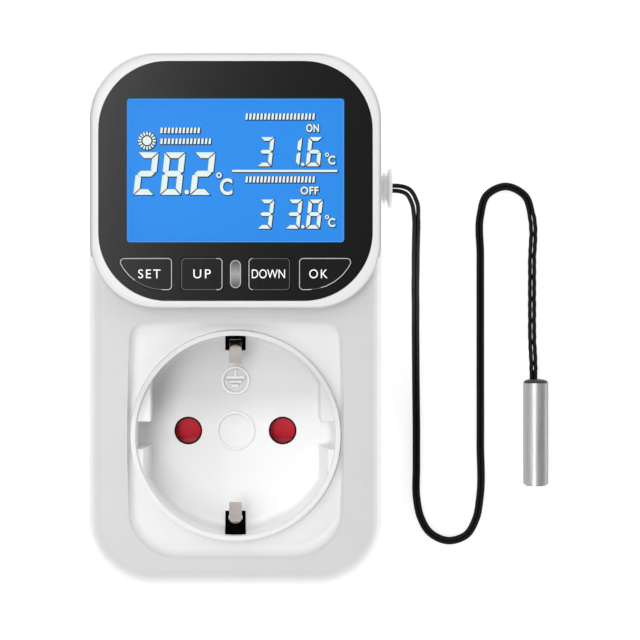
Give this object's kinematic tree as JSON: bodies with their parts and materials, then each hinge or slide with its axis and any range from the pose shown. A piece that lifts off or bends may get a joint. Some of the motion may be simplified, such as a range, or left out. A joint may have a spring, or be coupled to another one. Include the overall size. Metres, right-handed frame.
{
  "type": "plug-in temperature controller",
  "caption": "White plug-through case with a raised black display head over a round recessed socket, a plug body with two pins behind, and a thin black lead that ends in a steel probe.",
  "frame": {"origin": "centre of the plug body's root, in the plane of the case's back face", "axes": "+X to the right of the front face, +Y from the socket towards the display, +Z out of the front face, against the way the plug goes in"},
  "size_m": [0.0978, 0.104, 0.0763],
  "materials": {
    "white_case": "satin moulded",
    "black_panel": "polished",
    "clear_window": "clear",
    "blue_display": "glossy, lit",
    "light_guide": "clear satin",
    "black_keys": "satin",
    "dark_plastic": "moulded",
    "grey_lens": "frosted",
    "green_board": "coated",
    "plated_steel": "zinc plated",
    "nickel_brass": "nickel plated",
    "clip_metal": "rolled",
    "contact_brass": "rolled",
    "block_plastic": "moulded",
    "red_shutter": "moulded",
    "relay_blue": "moulded",
    "yellow_parts": "moulded",
    "brown_wire": "insulation",
    "blue_wire": "insulation",
    "grey_rubber": "moulded",
    "black_lead": "satin",
    "probe_steel": "drawn",
    "bead_epoxy": "dipped"
  },
  "bodies": {
    "case": {"rear_housing": "white_case", "front_housing": "white_case", "socket_insert": "white_case", "front_panel": "black_panel", "display_window": "clear_window", "lcd_glass": "blue_display", "lcd_backlight": "light_guide", "lcd_frame": "dark_plastic", "display_board": "green_board", "display_screws": "plated_steel", "tact_switches": "plated_steel", "status_led": "yellow_parts", "led_lens": "grey_lens", "microcontroller": "dark_plastic", "buzzer": "dark_plastic", "board_header": "dark_plastic", "main_board": "green_board", "board_screws": "plated_steel", "relay": "relay_blue", "transformer": "yellow_parts", "filter_capacitor": "dark_plastic", "film_capacitor": "yellow_parts", "varistor": "relay_blue", "fuse": "plated_steel", "probe_connector": "block_plastic", "contact_block": "block_plastic", "socket_contact_live": "contact_brass", "socket_contact_neutral": "contact_brass", "socket_earth_spring": "clip_metal", "shutter_spring": "plated_steel", "socket_screws": "plated_steel", "insert_screws": "plated_steel", "live_pin": "nickel_brass", "neutral_pin": "nickel_brass", "plug_earth_strip": "nickel_brass", "pin_retainer": "dark_plastic", "retainer_screws": "plated_steel", "live_pin_wire": "brown_wire", "neutral_pin_wire": "blue_wire", "socket_live_wire": "brown_wire", "socket_neutral_wire": "blue_wire", "case_screws": "plated_steel", "cable_gland": "grey_rubber", "probe_lead_inner": "black_lead", "probe_cord": "black_lead", "probe_capsule": "probe_steel", "probe_seal": "black_lead", "thermistor_bead": "bead_epoxy"},
    "shutter_slider": {"shutter": "red_shutter"},
    "set_key": {"set_button": "black_keys", "set_plunger": "dark_plastic"},
    "up_key": {"up_button": "black_keys", "up_plunger": "dark_plastic"},
    "down_key": {"down_button": "black_keys", "down_plunger": "dark_plastic"},
    "ok_key": {"ok_button": "black_keys", "ok_plunger": "dark_plastic"}
  },
  "joints": [
    {"name": "set_press", "type": "slide", "parent": "case", "child": "set_key", "axis": [0, 0, -1], "range_m": [0, 0.0005], "stiffness_N_per_m": 600, "springref_m": -0.001},
    {"name": "up_press", "type": "slide", "parent": "case", "child": "up_key", "axis": [0, 0, -1], "range_m": [0, 0.0005], "stiffness_N_per_m": 600, "springref_m": -0.001},
    {"name": "down_press", "type": "slide", "parent": "case", "child": "down_key", "axis": [0, 0, -1], "range_m": [0, 0.0005], "stiffness_N_per_m": 600, "springref_m": -0.001},
    {"name": "ok_press", "type": "slide", "parent": "case", "child": "ok_key", "axis": [0, 0, -1], "range_m": [0, 0.0005], "stiffness_N_per_m": 600, "springref_m": -0.001},
    {"name": "shutter_slide", "type": "slide", "parent": "case", "child": "shutter_slider", "axis": [0, 1, 0], "range_m": [0, 0.0064], "stiffness_N_per_m": 100, "springref_m": -0.005, "deforming": ["shutter_spring"]}
  ]
}
